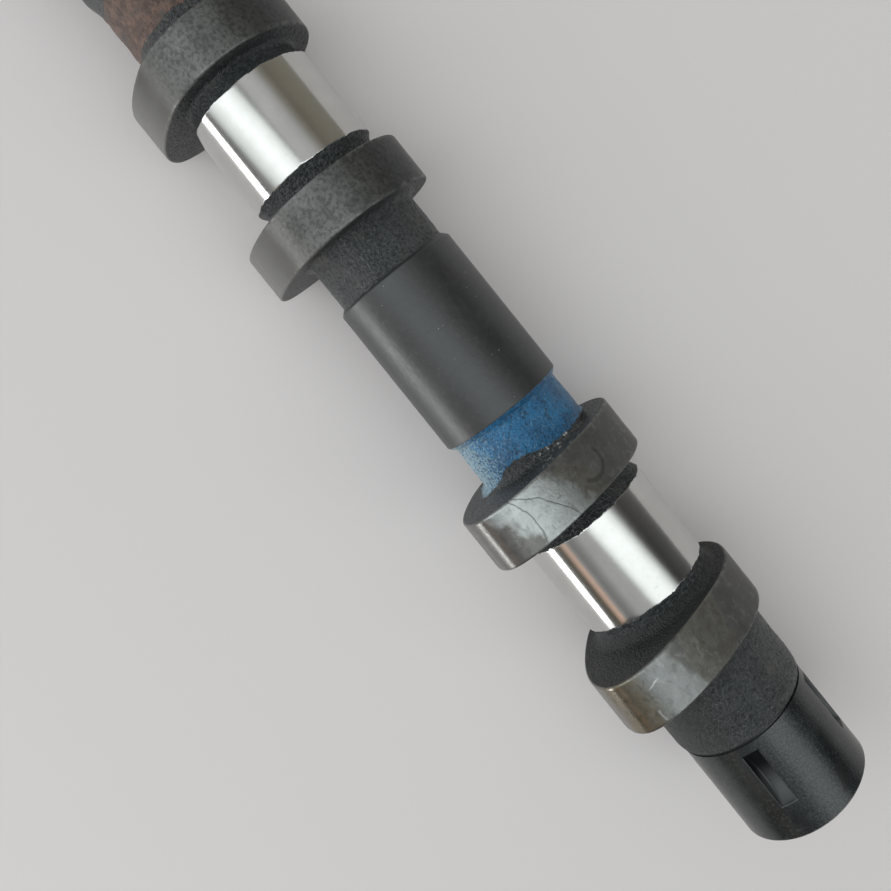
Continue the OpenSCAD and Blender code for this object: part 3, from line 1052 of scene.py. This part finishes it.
def spigot_black():
    """Turned and blackened spigot, dusty, with a band of painted sheen, painted shade in its grit and
    slots, and one stain.
    """
    s = Shade("spigot_black", 0.6)
    lines = s.noise(0.2, 2, 0.7, 41, stretch=(1, 40, 40))
    cloud = s.noise(4.5, 4, 0.6, 42, stretch=(1.6, 1, 1))
    grit = s.noise(0.34, 3, 0.6, 44)
    specks = s.step(s.noise(0.3, 2, 0.5, 43), 0.7, 0.78)
    dusty = s.step(s.noise(5, 3, 0.6, 46), 0.42, 0.6)
    dust = s.times(s.step(s.noise(0.5, 4, 0.75, 45), 0.5, 0.66), dusty)
    # Painted sheen: a pale grainy band on the side of the spigot that faces the overhead panel.
    wear_and_sheen = s.times(s.between(s.around, -30, 6, 26), s.step(grit, 0.42, 0.6))
    color = s.layered(
        s.tint(s.step(cloud, 0.35, 0.65), (0.008, 0.011, 0.0115), (0.02, 0.0245, 0.025)),
        # Painted shade: the hollows of the grit are darker.
        (s.step(grit, 0.48, 0.36), 0.4, (0.006, 0.007, 0.007)),
        (specks, 0.35, (0.2, 0.21, 0.2)),
        (dust, 0.6, (0.075, 0.082, 0.082)),
        (wear_and_sheen, 0.55, (0.085, 0.095, 0.095)))
    rough = s.sum(0.27, s.swing(cloud, 0.08), s.swing(grit, 0.1))
    height = s.sum(s.swing(lines, 0.002), s.swing(grit, 0.014))
    dark = ((0.005, 0.005, 0.005), 0, 0.36, height)
    look = s.over(s.times(stain(s, *SPIGOT_STAIN), 0.85), dark, (color, 0, rough, height))
    sunk = s.step(s.radius, SPIGOT_R - 0.15, SPIGOT_R - 0.35)
    slot = s.times(sunk, s.step(s.x, REAR_X - 0.3, REAR_X - 0.5))
    # Painted shade: sunk surfaces such as the slots' floors are dark towards the collar and paler towards
    # the free end.
    floor = s.tint(s.step(s.x, COLLAR_X + 5.5, COLLAR_X + 9), (0.004, 0.005, 0.007), (0.05, 0.055, 0.055))
    return s.finish(s.over(slot, (floor, 0.3, 0.38, s.swing(lines, 0.01)), look))


def bore_iron():
    """Plain cut iron inside the bolt hole and the centre hole."""
    s = Shade("bore_iron")
    cloud = s.noise(3, 3, 0.6, 51)
    color = s.tint(s.step(cloud, 0.35, 0.65), (0.16, 0.155, 0.15), (0.27, 0.265, 0.255))
    rough = s.sum(0.4, s.swing(cloud, 0.12))
    return s.finish((color, 1, rough, s.swing(s.noise(0.25, 2, 0.5, 52), 0.01)))


MATERIALS = [cast_skin(), ground_iron(), lobe_phosphate(), barrel_black(), spigot_black(), bore_iron()]

for number, skin in bays():
    piece = build(skin, f"camshaft_cylinder_{number}", MATERIALS)
    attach(piece, "root")
    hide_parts("camshaft")


def add_floor():
    """A plain pale floor under the shaft, wide enough to fill every view."""
    reach = 4.0
    z = CAD_BOX[0][2]
    corners = [(-reach, -reach, z), (reach, -reach, z), (reach, reach, z), (-reach, reach, z)]
    mesh = bpy.data.meshes.new("floor")
    mesh.from_pydata(corners, [], [(0, 1, 2, 3)])
    s = Shade("floor", 0.1)
    s.fill(s.shader, {"Base Color": (0.8, 0.765, 0.765), "Roughness": 0.9})
    mesh.materials.append(s.material)
    add_object("floor", mesh)


def add_strip_lamp():
    """A long soft lamp low beside the shaft, lying along it and facing its axis."""
    centre, target = Vector((210, -320, 21)), Vector((210, 0, 0))
    length, height = 520 * MM, 68 * MM
    light = bpy.data.lights.new("strip", "AREA")
    light.shape = "RECTANGLE"
    light.size, light.size_y = length, height
    light.spread = math.radians(70)
    light.energy = math.pi * length * height
    along, back = Vector((1, 0, 0)), (centre - target).normalized()
    turn = Matrix((along, back.cross(along), back)).transposed().to_4x4()
    add_object("strip", light).matrix_world = Matrix.Translation(centre * MM) @ turn


def add_camera():
    """The camera of the photograph, found from the rims of the turned bands."""
    camera = bpy.data.cameras.new("camera")
    camera.lens = 36.394
    camera.sensor_width = 36.0
    camera.shift_y = -0.1313
    camera.clip_start = 0.005
    right = Vector((0.625963, 0.778867, -0.039207))
    up = Vector((-0.779825, 0.624724, -0.03991))
    back = right.cross(up)
    turn = Matrix((right, up, back)).transposed().to_4x4()
    obj = add_object("camera", camera)
    obj.matrix_world = Matrix.Translation((0.29382, 0.010054, 0.161675)) @ turn
    bpy.context.scene.camera = obj


def add_world():
    """The studio by direction round the shaft, in degrees from straight up towards -Y.

    It is pale, with a dark bank low on each side, and a bright overhead panel that lies slantwise
    across the shaft: the further along the shaft, the further over towards +Y.
    """
    world = bpy.data.worlds.new("studio")
    world.use_nodes = True
    w = Nodes(world.node_tree)
    x, y, z = w.add("ShaderNodeSeparateXYZ", w.add("ShaderNodeTexCoord").outputs["Generated"]).outputs
    around = w.turn(y, z)
    rearward = w.span(x, -0.28, 0.34)
    near, far = (w.ramp(around, -180, 180, stops) for stops in (NEAR_STUDIO, FAR_STUDIO))
    studio = w.scaled(w.tint(rearward, near, far), w.span(x, 0.36, 0.62, 1.0, 0.3))
    beside = w.math("SUBTRACT", around, w.span(x, -0.45, 0.45, *PANEL_CENTRES))
    near, far = (w.ramp(beside, -90, 90, stops) for stops in (NEAR_PANEL, FAR_PANEL))
    panel = w.add("ShaderNodeVectorMath", w.tint(rearward, near, far), PANEL_COLOR, operation="MULTIPLY")
    ends = w.span(w.apart(x, 0.0), 0.62, 0.78, 1.0, 0.0)
    panel = w.scaled(panel.outputs[0], w.times(ends, 2.0))
    light = w.add("ShaderNodeVectorMath", studio, panel, operation="MAXIMUM").outputs[0]
    w.fill(w.tree.nodes["Background"], {"Color": light, "Strength": 1})
    bpy.context.scene.world = world


# Brightness of the studio round the shaft, as seen towards the sprocket end and the slotted end
NEAR_STUDIO = [
    (-180, 0.5), (-105, 0.44), (-90, (0.28, 0.27, 0.23)), (-60, (0.24, 0.22, 0.18)),
    (-48, (0.2, 0.18, 0.15)), (-40, (0.28, 0.27, 0.23)), (-28, 0.54), (-16, 0.64), (-5, 0.64),
    (2, 0.42), (60, 0.42), (72, 0.3), (77, 0.16), (90, 0.2), (98, 0.52), (120, 0.6), (180, 0.52)]
FAR_STUDIO = [
    (-180, 0.5), (-105, 0.42), (-92, 0.24), (-80, 0.11), (-56, 0.05), (-48, 0.1), (-40, 0.4),
    (-32, 0.6), (10, 0.56), (30, 0.54), (40, 0.34), (48, 0.26), (54, 0.4), (59, (0.95, 0.66, 0.52)),
    (64, (0.62, 0.46, 0.36)), (69, (0.13, 0.11, 0.08)), (82, 0.18), (98, 0.45), (120, 0.54),
    (180, 0.48)]
# Half the brightness of the overhead panel, by degrees from its middle, and the directions round the
# shaft in which its middle lies: all as seen towards the sprocket end and the slotted end
NEAR_PANEL = [(-42, 0.0), (-37, 0.3), (-32, 0.62), (-24, 0.78), (-8, 0.96), (2, 0.84), (10, 0.7),
              (18, 0.6), (25, 0.42), (30, 0.16), (34, 0.0)]
FAR_PANEL = [(-38, 0.0), (-31, 0.36), (-25, 0.66), (-16, 0.86), (6, 0.86), (12, 0.74), (17, 0.5),
             (22, 0.0)]
PANEL_CENTRES = (53.4, -20.4)
PANEL_COLOR = (0.95, 1.0, 1.0)

add_camera()
add_floor()
add_world()
add_strip_lamp()
bpy.context.scene.view_settings.view_transform = "Standard"
